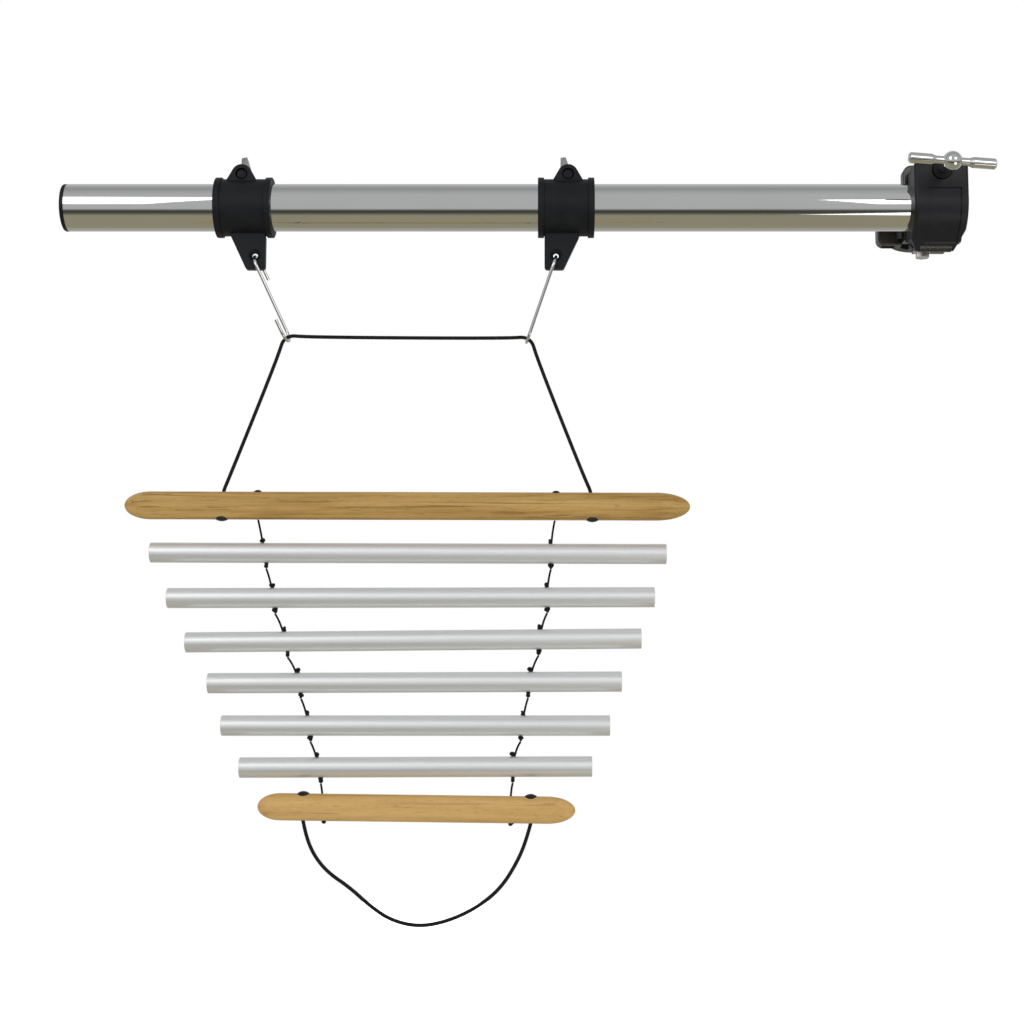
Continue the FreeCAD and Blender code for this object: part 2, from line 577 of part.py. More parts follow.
def bolt_hole(side, which):
    """The hole for the bolt: close with a sunk seat in front, roomy behind."""
    if which == 1:
        low = rod(BOLT_R + 0.8, bolt_axis(side, ARM_Y - 1), bolt_axis(side, ARM_Y + 30))
        high = low.copy()
        high.translate(Z_DIR * 1.0)
        low.translate(-Z_DIR * 0.6)
        return low.fuse(high)
    seat = ARM_Y - EAR_FRONT + BOLT_HEAD + 0.5
    through = rod(BOLT_R + 0.05, bolt_axis(side, ARM_Y - 30), bolt_axis(side, ARM_Y + 1))
    return through.fuse(rod(BOLT_HEAD_R + 0.5, bolt_axis(side, ARM_Y - 30), bolt_axis(side, seat)))


def hanger_bolt(side):
    """The round-headed bolt through both ears."""
    seat = ARM_Y - EAR_FRONT + BOLT_HEAD + 0.5
    head = rod(BOLT_HEAD_R, bolt_axis(side, seat - BOLT_HEAD), bolt_axis(side, seat))
    head = rounded(head, 0.5, lambda e: abs(e.CenterOfMass.y - (seat - BOLT_HEAD)) < 1e-3)
    shaft = rod(BOLT_R, bolt_axis(side, seat - 1), bolt_axis(side, ARM_Y + BOLT_END))
    return fuse(head, shaft)


def hanger_washer(side):
    """The washer between the rear ear and the wing nut."""
    face = ARM_Y + EAR_REAR + 0.1
    disc = rod(WASHER_R, bolt_axis(side, face), bolt_axis(side, face + WASHER_THICK))
    return disc.cut(rod(BOLT_R + 0.1, bolt_axis(side, face - 5), bolt_axis(side, face + 5)))


def wing_nut(side):
    """A wing nut with two upright wings that lean outwards and taper to their tips."""
    face = ARM_Y + EAR_REAR + 0.2 + WASHER_THICK
    foot = bolt_axis(side, face)
    nut = Part.makeCone(WING_HUB_R, WING_HUB_R - 1.5, WING_HUB, foot, Y_DIR)
    for up in (1, -1):
        inner = foot + V(-WING_HUB_R, WING_R + 0.2, 5.0 * up)
        outer = foot + V(-WING_HUB_R, WING_R + 9.5, 24.0 * up)
        across = (outer - inner).normalize().cross(X_DIR) * WING_R
        along = X_DIR * WING_HUB_R * 2
        wing = prism([inner + across, outer + across, outer - across, inner - across], along)
        wing = fuse(wing, *[rod(WING_R, point, point + along) for point in (inner, outer)])
        low, high = foot + V(0, -5, 2.0 * up), foot + V(0, -5, 30.0 * up)
        wide, slim = X_DIR * (WING_HUB_R - 0.8), X_DIR * (WING_THICK / 2)
        taper = prism([low - wide, high - slim, high + slim, low + wide], Y_DIR * 40)
        nut = fuse(nut, wing.common(taper))
    nut = turned(nut, foot, Y_DIR, WING_TURN[side])
    return nut.cut(rod(BOLT_R + 0.1, bolt_axis(side, face - 5), bolt_axis(side, face + 20)))


def hanger_pin(side):
    """The steel pin in the barrel's wall on which the rear shell opens."""
    half = HANGER_WIDTH / 2 - 0.5
    return hanger_line(side, HANGER_PIN_R, -half, half, z=HANGER_HINGE_Z)


# ---------------------------------------------------------------- S-hooks

def hook_seat(side):
    """The centre of the hook's wire where the hanging cord bends over it."""
    at = 2 if side == "left" else 3
    *_, centre, _ = corner(HANGING_ROUTE[at - 1], HANGING_ROUTE[at], HANGING_ROUTE[at + 1], CORD_OVER_WIRE)
    return centre


def s_hook(side):
    """An S-hook of round wire that hangs on a straight line from its eye to its seat."""
    eye, seat = HOOK_EYES[side], hook_seat(side)
    down = (seat - eye).normalize()
    across = Y_DIR.cross(down) * -1
    turn = math.radians(HOOK_TURN[side])
    back = Y_DIR * math.cos(turn) + across * math.sin(turn)
    span = eye.distanceToPoint(seat)
    lean = math.asin(2 * HOOK_LOOP_R / span)
    depth = span * math.cos(lean)
    leg = down * math.cos(lean) + back * math.sin(lean)
    out = back * math.cos(lean) - down * math.sin(lean)

    def at(outward, downward):
        return eye + out * outward + leg * downward

    r = HOOK_LOOP_R
    ends = [
        at(r, r + HOOK_UPPER_LEG), at(r, r), at(-r, r),
        at(-r, depth - r), at(-3 * r, depth - r), at(-3 * r, depth - r - HOOK_LOWER_LEG),
    ]
    path = Part.Wire([
        Part.LineSegment(ends[0], ends[1]).toShape(),
        Part.Arc(ends[1], at(0, 0), ends[2]).toShape(),
        Part.LineSegment(ends[2], ends[3]).toShape(),
        Part.Arc(ends[3], at(-2 * r, depth), ends[4]).toShape(),
        Part.LineSegment(ends[4], ends[5]).toShape(),
    ])
    section = Part.Wire([Part.Circle(ends[0], leg * -1, WIRE_R).toShape()])
    print(f"{side} hook: wire length {path.Length:.1f}, lean {math.degrees(lean):.1f}")
    return path.makePipeShell([section], True, False)


# ---------------------------------------------------------------- wooden bars and tubes

def along_bar(bar, x):
    """The height of a bar's axis at x."""
    _, _, centre_x, centre_z, tilt = bar[:5]
    return centre_z + math.tan(math.radians(tilt)) * (x - centre_x)


def wooden_bar(bar):
    """An oval bar with an elliptical nose at each end."""
    length, height, centre_x, centre_z, tilt, left_nose, right_nose = bar
    r = height / 2
    left, right = -length / 2 + left_nose, length / 2 - right_nose
    noses = []
    for at, nose, quarter in ((left, left_nose, (0.5, 1.0)), (right, right_nose, (0.0, 0.5))):
        ellipse = Part.Ellipse(V(at + nose, 0, 0), V(at, 0, r), V(at, 0, 0))
        noses.append(Part.ArcOfEllipse(ellipse, math.pi * quarter[0], math.pi * quarter[1]).toShape())
    outline = [
        noses[0],
        Part.LineSegment(V(left, 0, r), V(right, 0, r)).toShape(),
        noses[1],
        Part.LineSegment(V(-length / 2, 0, 0), V(length / 2, 0, 0)).toShape(),
    ]
    round_bar = Part.Face(Part.Wire(Part.__sortEdges__(outline))).revolve(ORIGIN, X_DIR, 360)
    flatten = FreeCAD.Matrix()
    flatten.scale(1.0, BAR_DEPTH / height, 1.0)
    oval = round_bar.transformGeometry(flatten)
    oval.rotate(ORIGIN, Y_DIR, -tilt)
    oval.translate(V(centre_x, HANG_Y, centre_z))
    return oval


def upright(radius, x, z0, z1):
    """A vertical cylinder in the plane in which the instrument hangs."""
    return rod(radius, V(x, HANG_Y, z0), V(x, HANG_Y, z1))


def stopper(bar, x, way, radius, proud):
    """A domed stopper partly sunk in a bar. way is 1 on the bar's top and -1 under it."""
    surface = along_bar(bar, x) + way * bar[1] / 2
    base = surface - way * STOPPER_SUNK
    disc = upright(radius, x, base, surface)
    crown = (radius ** 2 + proud ** 2) / (2 * proud)
    dome = Part.makeSphere(crown, V(x, HANG_Y, surface + way * (proud - crown)))
    cap = upright(radius, x, surface, surface + way * proud * 2).common(dome)
    return fuse(disc, cap)


def sunk_seat(bar, x, way, radius):
    """The recess that a stopper sits in."""
    surface = along_bar(bar, x) + way * bar[1] / 2
    return upright(radius + 0.15, x, surface - way * (STOPPER_SUNK + 0.05), surface + way * 10)


def upper_bar():
    """The upper wooden bar with its cord holes and stopper seats."""
    bar = wooden_bar(UPPER_BAR)
    for x in HANGING_HOLES_X:
        bar = bar.cut(upright(BAR_HOLE_R, x, -280, -220)).cut(sunk_seat(UPPER_BAR, x, -1, STOPPER_R))
    for side in ("left", "right"):
        x = RUNG_TOP_X[side][0]
        bar = bar.cut(upright(RUNG_HOLE_R, x, -280, -220)).cut(sunk_seat(UPPER_BAR, x, 1, SMALL_STOPPER_R))
    return bar


def lower_bar():
    """The lower wooden bar with its cord holes and stopper seats."""
    bar = wooden_bar(LOWER_BAR)
    for x in LOOP_HOLES_X:
        bar = bar.cut(upright(BAR_HOLE_R, x, -510, -460)).cut(sunk_seat(LOWER_BAR, x, 1, STOPPER_R))
    for side in ("left", "right"):
        bar = bar.cut(upright(RUNG_HOLE_R, sum(RUNG_END_X[side]) / 2, -510, -460))
    return bar


def stoppers_with_cord(bar, places, cap_radius, proud, cord_radius):
    """The stoppers on top of a bar, each with the bit of its cord that goes down through the bar."""
    pieces = []
    for x in places:
        bottom = along_bar(bar, x) - bar[1] / 2
        through = upright(cord_radius, x, bottom, bottom + bar[1] - STOPPER_SUNK + 0.5)
        pieces.append(fuse(stopper(bar, x, 1, cap_radius, proud), through))
    return Part.makeCompound(pieces)


def tube_axis_z(index, x):
    """The height of one tube's axis at x."""
    _, centre_x, centre_z, tilt = TUBES[index]
    return centre_z + math.tan(math.radians(tilt)) * (x - centre_x)


def knot_points(side, index):
    """The middles of the knots above and below one tube on one cord."""
    above_x, below_x = (LEFT_KNOTS if side == "left" else RIGHT_KNOTS)[index]
    above = V(above_x, HANG_Y, tube_axis_z(index, above_x) + KNOT_ABOVE)
    below = V(below_x, HANG_Y, tube_axis_z(index, below_x) - KNOT_ABOVE)
    return above, below


def chime_tube(index):
    """One aluminium tube, drilled through for both cords."""
    length, centre_x, centre_z, tilt = TUBES[index]
    along = V(math.cos(math.radians(tilt)), 0, math.sin(math.radians(tilt)))
    middle = V(centre_x, HANG_Y, centre_z)
    left, right = middle - along * (length / 2), middle + along * (length / 2)
    tube = rod(TUBE_R, left, right)
    tube = rounded(tube, 0.4, lambda e: isinstance(e.Curve, Part.Circle))
    tube = tube.cut(rod(TUBE_R - TUBE_WALL, left - along, right + along))
    for side in ("left", "right"):
        above, below = knot_points(side, index)
        tube = tube.cut(rod(RUNG_HOLE_R, above, below))
    return tube


def rung_knots(index):
    """The four knots that hold one tube on the two cords."""
    return Part.makeCompound([
        Part.makeSphere(KNOT_R, point) for side in ("left", "right") for point in knot_points(side, index)
    ])


def rung_start(side, index):
    """The point just under the piece above, where a rung cord begins and swings."""
    if index == 0:
        x = RUNG_TOP_X[side][1]
        return V(x, HANG_Y, along_bar(UPPER_BAR, x) - UPPER_BAR[1] / 2 - FIT)
    _, below = knot_points(side, index - 1)
    return below - Z_DIR * (KNOT_R + RUNG_GAP)


def rung_cord(index):
    """The left and right cords from the piece above down through one tube."""
    cords = []
    for side in ("left", "right"):
        above, below = knot_points(side, index)
        route = [rung_start(side, index), above + V(0, 0, 1), below]
        cords.append(cord(f"rung_cord_{index + 1} {side}", route, RUNG_CORD_R))
    return Part.makeCompound(cords)


def last_rung_cord():
    """The left and right cords from the lowest tube down through the lower bar."""
    cords = []
    for side in ("left", "right"):
        top_x, bottom_x = RUNG_END_X[side]
        half = LOWER_BAR[1] / 2
        top = V(top_x, HANG_Y, along_bar(LOWER_BAR, top_x) + half + 1)
        bottom = V(bottom_x, HANG_Y, along_bar(LOWER_BAR, bottom_x) - half - 1)
        cords.append(cord(f"rung_cord_7 {side}", [rung_start(side, len(TUBES)), top, bottom], RUNG_CORD_R))
    return Part.makeCompound(cords)


def end_knots():
    """The knots under the lower bar that end the rung cords."""
    knots = []
    for side in ("left", "right"):
        x = RUNG_END_X[side][1]
        knots.append(Part.makeSphere(KNOT_R, V(x, HANG_Y, along_bar(LOWER_BAR, x) - LOWER_BAR[1] / 2 - 1.5)))
    return Part.makeCompound(knots)


def hanging_cord_stoppers():
    """The stoppers under the upper bar, on both ends of the hanging cord."""
    return Part.makeCompound([stopper(UPPER_BAR, x, -1, STOPPER_R, STOPPER_PROUD * 0.75) for x in HANGING_HOLES_X])


# ---------------------------------------------------------------- all nodes

def build_clamp():
    """Write the right-angle clamp."""
    save("clamp_body", clamp_body())
    save("arm_jaw", arm_jaw())
    save("hinge_bracket", hinge_bracket())
    save("bracket_bolt", bracket_bolt())
    save("arm_hinge_pin", hinge_rod(HINGE_PIN_R, JAW_LEFT + 4.5, CLAMP_HALF - 6.5))
    save("post_hinge_pin", post_hinge_rod(HINGE_PIN_R, -POST_HALF + 0.5, POST_HALF - 0.5))
    save("post_jaw", post_jaw())
    for owner, parts in (("arm", arm_screw_parts()), ("post", post_screw_parts())):
        for piece, shape in zip(("screw", "t_bar", "washer"), parts):
            save(f"{owner}_{piece}", shape)


def build_arm():
    """Write the rack arm and its caps."""
    save("arm_tube", arm_tube())
    save("arm_cap_left", end_cap(ARM_LEFT, -1, CAP_FLANGE))
    save("arm_cap_right", end_cap(ARM_RIGHT, 1, CAP_FLANGE_RIGHT))


def build_hangers():
    """Write both hanger clamps and their hooks."""
    for side in HANGERS:
        save(f"{side}_hanger_front", shell(side, 0))
        save(f"{side}_hanger_rear", shell(side, 1))
        save(f"{side}_hanger_pin", hanger_pin(side))
        save(f"{side}_hanger_bolt", hanger_bolt(side))
        save(f"{side}_hanger_washer", hanger_washer(side))
        save(f"{side}_wing_nut", wing_nut(side))
        save(f"{side}_s_hook", s_hook(side))


def build_instrument():
    """Write the bars, tubes, cords and knots."""
    bends = {2: CORD_OVER_WIRE, 3: CORD_OVER_WIRE}
    save("hanging_cord", cord("hanging_cord", HANGING_ROUTE, CORD_R, bends))
    save("hanging_cord_stoppers", hanging_cord_stoppers())
    save("upper_bar", upper_bar())
    small = (SMALL_STOPPER_R, SMALL_STOPPER_PROUD, RUNG_CORD_R)
    save("top_stoppers", stoppers_with_cord(UPPER_BAR, [ends[0] for ends in RUNG_TOP_X.values()], *small))
    for index in range(len(TUBES)):
        save(f"tube_{index + 1}", chime_tube(index))
        save(f"rung_cord_{index + 1}", rung_cord(index))
        save(f"rung_knots_{index + 1}", rung_knots(index))
    save(f"rung_cord_{len(TUBES) + 1}", last_rung_cord())
    save("lower_bar", lower_bar())
    save("end_knots", end_knots())
    large = (STOPPER_R, STOPPER_PROUD, CORD_R)
    save("loop_stoppers", stoppers_with_cord(LOWER_BAR, LOOP_HOLES_X, *large))
    save("loop_cord", cord("loop_cord", LOOP_ROUTE, CORD_R))


os.makedirs("parts", exist_ok=True)
build_clamp()
build_arm()
build_hangers()
build_instrument()
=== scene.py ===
"""Looks of a hanging tube marimba on a rack arm.

Six aluminium tubes hang on two knotted cords between two wooden bars. A cord over two S-hooks carries
them from two clamps on a chromed arm, and a right-angle clamp holds the arm on an upright post.
Sizes in the classes are in millimetres, as in the workshop drawing; Blender gets metres.
"""

import json
import logging
import math
import random
from abc import ABC, abstractmethod
from dataclasses import dataclass, field
from enum import Enum
from typing import Callable, Sequence

import bpy
from mathutils import Matrix, Vector


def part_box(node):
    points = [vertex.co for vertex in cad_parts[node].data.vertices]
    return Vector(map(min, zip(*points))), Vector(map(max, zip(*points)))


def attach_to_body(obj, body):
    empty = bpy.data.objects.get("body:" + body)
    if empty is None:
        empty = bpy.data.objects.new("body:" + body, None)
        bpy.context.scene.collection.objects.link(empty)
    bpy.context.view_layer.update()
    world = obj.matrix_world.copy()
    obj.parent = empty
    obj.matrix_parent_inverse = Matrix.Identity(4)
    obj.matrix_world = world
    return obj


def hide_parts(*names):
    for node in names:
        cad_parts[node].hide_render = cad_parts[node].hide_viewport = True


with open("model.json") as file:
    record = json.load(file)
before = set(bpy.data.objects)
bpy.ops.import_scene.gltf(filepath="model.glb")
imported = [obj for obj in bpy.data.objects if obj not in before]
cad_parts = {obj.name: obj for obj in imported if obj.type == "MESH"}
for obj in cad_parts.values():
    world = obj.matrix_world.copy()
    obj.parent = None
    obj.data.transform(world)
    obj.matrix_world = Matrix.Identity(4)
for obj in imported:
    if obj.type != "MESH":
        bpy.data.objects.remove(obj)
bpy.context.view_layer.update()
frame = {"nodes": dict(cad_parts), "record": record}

LOG = logging.getLogger("marimba")
MM = 0.001

Colour = tuple[float, float, float]
Point = tuple[float, float, float]
Socket = bpy.types.NodeSocket


class Slot(Enum):
    """The material slots of the record."""

    CHROME = "chrome"
    ZINC = "zinc"
    CAST_BODY = "cast_body"
    BLACK_JAW = "black_jaw"
    MOULDING = "black_moulding"
    DARK_STEEL = "dark_steel"
    CAP = "cap_plastic"
    TUBE = "tube_aluminium"
    UPPER_WOOD = "upper_wood"
    LOWER_WOOD = "lower_wood"
    CORD = "black_cord"
    STRING = "rung_string"
    STOPPER = "stopper_black"


class Side(Enum):
    """The two cords, hangers and hooks."""

    LEFT = "left"
    RIGHT = "right"


# ------------------------------------------------------------------ finishes

class Bench:
    """One material under construction: each call adds a node and gives its output."""

    def __init__(self, name: str) -> None:
        """Starts a material with one Principled shader.

        Args:
            name: The material's name.
        """
        self.material = bpy.data.materials.new(name)
        self.material.use_nodes = True
        self.tree = self.material.node_tree
        self.shader = self.tree.nodes["Principled BSDF"]

    def add(self, kind: str, **settings: object) -> bpy.types.Node:
        """Adds a node of one kind with its settings.

        Args:
            kind: The node's type name after "ShaderNode".
            settings: Properties to set on the node.

        Returns:
            The node.
        """
        node = self.tree.nodes.new("ShaderNode" + kind)
        for key, value in settings.items():
            setattr(node, key, value)
        return node

    def plug(self, node: bpy.types.Node, **inputs: object) -> None:
        """Links sockets into a node's inputs, or sets plain values on them.

        Args:
            node: The node that gets the inputs.
            inputs: Values by input name, with underscores for spaces.
        """
        for key, value in inputs.items():
            target = node.inputs[key.replace("_", " ")]
            if isinstance(value, bpy.types.NodeSocket):
                self.tree.links.new(value, target)
            else:
                target.default_value = value

    def along(self, scale: Point, turn: Point = (0.0, 0.0, 0.0)) -> Socket:
        """The object's own coordinates, in metres, stretched.

        Args:
            scale: How often the pattern repeats per metre on each axis.
            turn: Rotation of the pattern in radians.

        Returns:
            The vector output.
        """
        mapping = self.add("Mapping")
        self.plug(mapping, Vector=self.add("TexCoord").outputs["Object"], Scale=scale, Rotation=turn)
        return mapping.outputs["Vector"]

    def noise(self, vector: Socket, scale: float = 1.0, detail: float = 3.0, rough: float = 0.5,
              distortion: float = 0.0) -> Socket:
        """A noise pattern between 0 and 1."""
        node = self.add("TexNoise")
        self.plug(node, Vector=vector, Scale=scale, Detail=detail, Roughness=rough, Distortion=distortion)
        return node.outputs["Fac"]

    def cells(self, vector: Socket, scale: float = 1.0) -> Socket:
        """The distance to the nearest of scattered points."""
        node = self.add("TexVoronoi")
        self.plug(node, Vector=vector, Scale=scale)
        return node.outputs["Distance"]

    def span(self, value: Socket, low: float, high: float,
             to_low: float = 0.0, to_high: float = 1.0) -> Socket:
        """A value stretched from one range to another and held inside it."""
        node = self.add("MapRange", interpolation_type="SMOOTHSTEP")
        self.plug(node, Value=value, From_Min=low, From_Max=high, To_Min=to_low, To_Max=to_high)
        return node.outputs["Result"]

    def sum(self, first: Socket, second: Socket, share: float) -> Socket:
        """The first value plus a share of the second."""
        node = self.add("Math", operation="MULTIPLY_ADD")
        self.tree.links.new(second, node.inputs[0])
        node.inputs[1].default_value = share
        self.tree.links.new(first, node.inputs[2])
        return node.outputs[0]

    def ramp(self, value: Socket, stops: Sequence[tuple[float, Colour]]) -> Socket:
        """A colour for each value, from stops in rising order."""
        node = self.add("ValToRGB")
        while len(node.color_ramp.elements) < len(stops):
            node.color_ramp.elements.new(0.5)
        for element, (at, colour) in zip(node.color_ramp.elements, stops):
            element.position = at
            element.color = (*colour, 1.0)
        self.tree.links.new(value, node.inputs["Fac"])
        return node.outputs["Color"]

    def mix(self, share: Socket, first: Socket | Colour, second: Socket | Colour) -> Socket:
        """The first colour where share is 0, the second where it is 1."""
        node = self.add("Mix", data_type="RGBA")
        self.tree.links.new(share, node.inputs[0])
        for slot, colour in ((6, first), (7, second)):
            if isinstance(colour, bpy.types.NodeSocket):
                self.tree.links.new(colour, node.inputs[slot])
            else:
                node.inputs[slot].default_value = (*colour, 1.0)
        return node.outputs[2]

    def bump(self, height: Socket, depth_mm: float, strength: float = 1.0) -> None:
        """Roughens the shader's normal by a height pattern of a real depth."""
        node = self.add("Bump")
        self.plug(node, Height=height, Distance=depth_mm * MM, Strength=strength)
        self.plug(self.shader, Normal=node.outputs["Normal"])


@dataclass(frozen=True)
class Finish(ABC):
    """A surface finish, which makes one material."""

    slot: Slot

    @abstractmethod
    def work(self, bench: Bench) -> None:
        """Builds the finish's nodes."""

    def material(self) -> bpy.types.Material:
        """The finish's material, made once."""
        made = bpy.data.materials.get("finish_" + self.slot.value)
        if made is None:
            bench = Bench("finish_" + self.slot.value)
            self.work(bench)
            made = bench.material
        return made


@dataclass(frozen=True)
class Plated(Finish):
    """Bright plating: a mirror with a breath of haze, fingerprints and hairline scratches."""

    colour: Colour = (0.86, 0.865, 0.875)
    polish: float = 0.03
    haze: float = 0.10

    def work(self, bench: Bench) -> None:
        """Builds the finish's nodes."""
        smear = bench.noise(bench.along((9, 26, 26)), 1.0, 4.0, 0.6)
        hair = bench.noise(bench.along((30, 900, 900), (0.0, 0.02, 0.03)), 1.0, 2.0, 0.4)
        tint = bench.mix(bench.span(smear, 0.35, 0.75), self.colour, tuple(c * 0.95 for c in self.colour))
        haze = bench.sum(bench.span(smear, 0.45, 0.8, self.polish, self.haze), hair, 0.02)
        bench.plug(bench.shader, Base_Color=tint, Roughness=haze, Metallic=1.0)
        bench.bump(hair, 0.002, 0.35)


@dataclass(frozen=True)
class RoughMetal(Finish):
    """Cast or plated metal with a blasted skin, mottled at random from dark to light; on the cast body the
    strong mottling is partly painted shade and painted highlight.
    """

    colour: Colour = (0.5, 0.5, 0.5)
    dark: Colour = (0.2, 0.2, 0.2)
    grain: float = 900.0
    depth: float = 0.08
    roughness: tuple[float, float] = (0.28, 0.55)

    def work(self, bench: Bench) -> None:
        """Builds the finish's nodes."""
        place = bench.along((1, 1, 1))
        patches = bench.noise(place, 70.0, 4.0, 0.6)
        skin = bench.noise(place, self.grain, 3.0, 0.6)
        pits = bench.span(bench.cells(place, self.grain * 0.4), 0.05, 0.35)
        # Random mottling from dark to light; with a near-black dark stop it is partly painted shade in
        # hollows and painted highlight on rims.
        mottle_and_painted_light = bench.ramp(bench.sum(patches, skin, 0.25), [
            (0.30, self.dark), (0.52, self.colour), (0.80, tuple(min(1.0, c * 1.3) for c in self.colour)),
        ])
        rough = bench.span(patches, 0.3, 0.7, *self.roughness)
        bench.plug(bench.shader, Base_Color=mottle_and_painted_light, Roughness=rough, Metallic=1.0)
        bench.bump(bench.sum(skin, pits, 0.6), self.depth, 0.7)


@dataclass(frozen=True)
class BlackCoat(Finish):
    """Black paint or moulded plastic with a fine texture, scuffed grey here and there."""

    colour: Colour = (0.02, 0.02, 0.022)
    scuff: Colour = (0.06, 0.06, 0.062)
    grain: float = 2600.0
    depth: float = 0.02
    roughness: tuple[float, float] = (0.38, 0.55)
    coat: float = 0.0
    specular: float = 0.5

    def work(self, bench: Bench) -> None:
        """Builds the finish's nodes."""
        place = bench.along((1, 1, 1))
        skin = bench.noise(place, self.grain, 2.0, 0.55)
        cloud = bench.noise(place, 55.0, 5.0, 0.6)
        smears = bench.noise(bench.along((60, 190, 420), (0.3, 0.5, 0.2)), 3.0, 3.0, 0.65)
        marks = bench.span(smears, 0.62, 0.78)
        body = bench.mix(bench.span(cloud, 0.35, 0.75), self.colour, tuple(c * 1.35 for c in self.colour))
        colour = bench.mix(bench.span(marks, 0.0, 1.0, 0.0, 0.35), body, self.scuff)
        bench.plug(bench.shader, Base_Color=colour, Roughness=bench.span(cloud, 0.3, 0.7, *self.roughness),
                   Coat_Weight=self.coat, Coat_Roughness=0.25, Specular_IOR_Level=self.specular)
        bench.bump(bench.sum(skin, marks, 0.4), self.depth, 0.8)


@dataclass(frozen=True)
class DrawnAluminium(Finish):
    """Satin anodised tube with fine lines along its length."""

    colour: Colour = (0.92, 0.93, 0.935)
    roughness: tuple[float, float] = (0.36, 0.46)
    metal: float = 0.72

    def work(self, bench: Bench) -> None:
        """Builds the finish's nodes."""
        lines = bench.noise(bench.along((5, 2400, 2400)), 1.0, 3.0, 0.7)
        broad = bench.noise(bench.along((3, 260, 260)), 1.0, 2.0, 0.5)
        specks = bench.span(bench.noise(bench.along((700, 700, 700)), 1.0, 2.0, 0.5), 0.60, 0.75)
        streaks = bench.sum(lines, broad, 0.5)
        tint = bench.ramp(streaks, [
            (0.45, tuple(c * 0.90 for c in self.colour)), (0.75, self.colour),
            (1.0, tuple(min(1.0, c * 1.06) for c in self.colour)),
        ])
        tint = bench.mix(bench.span(specks, 0.0, 1.0, 0.0, 0.12), tint, (0.55, 0.55, 0.54))
        bench.plug(bench.shader, Base_Color=tint, Metallic=self.metal,
                   Roughness=bench.span(streaks, 0.4, 1.0, *self.roughness))
        bench.bump(streaks, 0.006, 0.5)


@dataclass(frozen=True)
class OiledWood(Finish):
    """Oiled teak: bands of growth along the bar, darker streaks and short open pores."""

    light: Colour = (0.5, 0.3, 0.1)
    middle: Colour = (0.42, 0.24, 0.08)
    dark: Colour = (0.22, 0.11, 0.035)
    seed: Point = (0.0, 0.0, 0.0)
    streaks: float = 0.5

    def work(self, bench: Bench) -> None:
        """Builds the finish's nodes."""
        def grain(scale: Point) -> Socket:
            """The bar's coordinates, moved to its own part of the pattern and stretched."""
            mapping = bench.add("Mapping")
            bench.plug(mapping, Vector=bench.add("TexCoord").outputs["Object"],
                       Scale=scale, Location=self.seed)
            return mapping.outputs["Vector"]

        bands = bench.noise(grain((7, 95, 150)), 1.0, 3.0, 0.55, 0.6)
        fibres = bench.noise(grain((22, 900, 1100)), 1.0, 4.0, 0.65, 0.2)
        veins = bench.span(bench.noise(grain((9, 210, 330)), 1.0, 3.0, 0.6, 1.0), 0.56, 0.70)
        pores = bench.span(bench.noise(grain((130, 1900, 1900)), 1.0, 2.0, 0.5), 0.60, 0.70)
        base = bench.ramp(bench.sum(bands, fibres, 0.45), [
            (0.42, self.dark), (0.60, self.middle), (0.86, self.light),
        ])
        veined = bench.mix(bench.span(veins, 0.0, 1.0, 0.0, self.streaks), base, self.dark)
        pore = tuple(c * 0.55 for c in self.dark)
        colour = bench.mix(bench.span(pores, 0.0, 1.0, 0.0, 0.42), veined, pore)
        bench.plug(bench.shader, Base_Color=colour, Roughness=bench.span(fibres, 0.3, 0.7, 0.40, 0.58),
                   Specular_IOR_Level=0.22, Coat_Weight=0.04, Coat_Roughness=0.3)
        height = bench.sum(bench.span(pores, 0.0, 1.0, 1.0, 0.0), fibres, 0.5)
        bench.bump(height, 0.05, 0.5)


@dataclass(frozen=True)
class Braid(Finish):
    """Black polyester yarn, matt with a little sheen on its crowns."""

    colour: Colour = (0.005, 0.005, 0.006)
    crown: Colour = (0.022, 0.022, 0.024)
    thread: float = 5200.0

    def work(self, bench: Bench) -> None:
        """Builds the finish's nodes."""
        threads = bench.noise(bench.along((1, 1, 1)), self.thread, 2.0, 0.6)
        fluff = bench.noise(bench.along((1, 1, 1)), 420.0, 3.0, 0.6)
        colour = bench.mix(bench.span(bench.sum(threads, fluff, 0.4), 0.55, 0.95), self.colour, self.crown)
        bench.plug(bench.shader, Base_Color=colour, Roughness=bench.span(fluff, 0.3, 0.7, 0.62, 0.85),
                   Sheen_Weight=0.06, Sheen_Roughness=0.4, Specular_IOR_Level=0.15)
        bench.bump(threads, 0.03, 0.6)


